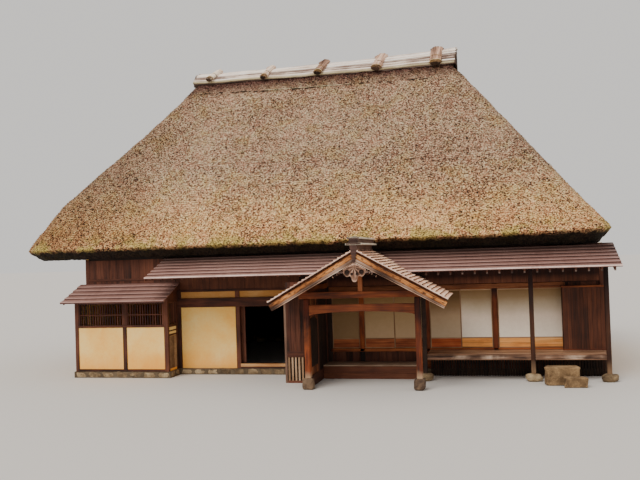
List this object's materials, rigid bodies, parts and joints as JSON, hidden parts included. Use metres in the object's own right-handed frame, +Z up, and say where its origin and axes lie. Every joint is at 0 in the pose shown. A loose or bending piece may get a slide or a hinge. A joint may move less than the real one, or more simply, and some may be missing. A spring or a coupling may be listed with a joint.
{
  "type": "minka farmhouse",
  "caption": "Thatched minka farmhouse with hipped roof, gabled porch, verandah, sliding paper screens, clay walls and a low bay.",
  "frame": {"origin": "centre of the bounding box at the level the house stands on", "axes": "+Z up, front of the house faces -Y, +X to the right seen from the front"},
  "size_m": [18.56, 12.89, 10.9077],
  "materials": {
    "thatch": "weathered reed",
    "bamboo": "weathered grey bamboo",
    "straw": "bound straw and bark",
    "sheet": "satin brown sheet",
    "timber": "dark stained",
    "worn": "worn reddish brown",
    "grey": "weathered grey",
    "clay": "matt clay plaster",
    "paper": "matt paper in a wooden frame",
    "shingle": "weathered shingles",
    "stone": "rough"
  },
  "bodies": {
    "house": {"thatch_roof": "thatch", "ridge_cover": "bamboo", "ridge_bundle_1": "straw", "ridge_bundle_2": "straw", "ridge_bundle_3": "straw", "ridge_bundle_4": "straw", "ridge_bundle_5": "straw", "pent_roof": "sheet", "pent_eave_beam": "timber", "bay_roof": "sheet", "bay_front_wall": "clay", "bay_right_wall": "clay", "bay_left_wall": "clay", "front_wall_left": "timber", "entrance_frame": "timber", "front_clay_wall": "clay", "upper_wall_left": "timber", "front_board_wall": "timber", "screen_frame": "timber", "upper_wall_right": "timber", "paper_screen_1": "paper", "left_wall": "clay", "right_wall": "clay", "back_wall": "clay", "raised_floor": "timber", "stone_footing": "stone", "verandah_floor": "grey", "verandah_edge_beam": "grey", "verandah_post_1": "worn", "verandah_post_2": "worn", "verandah_post_3": "worn", "shutter_box": "timber", "verandah_step": "grey", "porch_roof_left": "shingle", "porch_roof_right": "shingle", "porch_ridge": "shingle", "porch_roof_frame": "worn", "porch_arched_beam": "worn", "porch_post_left": "worn", "porch_stone_left": "stone", "porch_post_right": "worn", "porch_stone_right": "stone", "bargeboard_left": "worn", "bargeboard_right": "worn", "gable_pendant": "worn", "closet_wall": "timber", "porch_side_wall": "timber", "porch_step": "grey"},
    "entrance_door_leaf": {"entrance_door": "timber"},
    "paper_screen_2_leaf": {"paper_screen_2": "paper"},
    "paper_screen_3_leaf": {"paper_screen_3": "paper"},
    "paper_screen_4_leaf": {"paper_screen_4": "paper"},
    "paper_screen_5_leaf": {"paper_screen_5": "paper"},
    "paper_screen_6_leaf": {"paper_screen_6": "paper"},
    "paper_screen_7_leaf": {"paper_screen_7": "paper"}
  },
  "joints": [
    {"name": "entrance_door_slide", "type": "slide", "parent": "house", "child": "entrance_door_leaf", "axis": [1, 0, 0], "range_m": [0, 1.75]},
    {"name": "paper_screen_2_slide", "type": "slide", "parent": "house", "child": "paper_screen_2_leaf", "axis": [1, 0, 0], "range_m": [0, 0.894]},
    {"name": "paper_screen_3_slide", "type": "slide", "parent": "house", "child": "paper_screen_3_leaf", "axis": [1, 0, 0], "range_m": [-0.894, 0]},
    {"name": "paper_screen_4_slide", "type": "slide", "parent": "house", "child": "paper_screen_4_leaf", "axis": [1, 0, 0], "range_m": [0, 0.894]},
    {"name": "paper_screen_5_slide", "type": "slide", "parent": "house", "child": "paper_screen_5_leaf", "axis": [1, 0, 0], "range_m": [-0.894, 0]},
    {"name": "paper_screen_6_slide", "type": "slide", "parent": "house", "child": "paper_screen_6_leaf", "axis": [1, 0, 0], "range_m": [0, 0.894]},
    {"name": "paper_screen_7_slide", "type": "slide", "parent": "house", "child": "paper_screen_7_leaf", "axis": [1, 0, 0], "range_m": [-0.894, 0]}
  ]
}
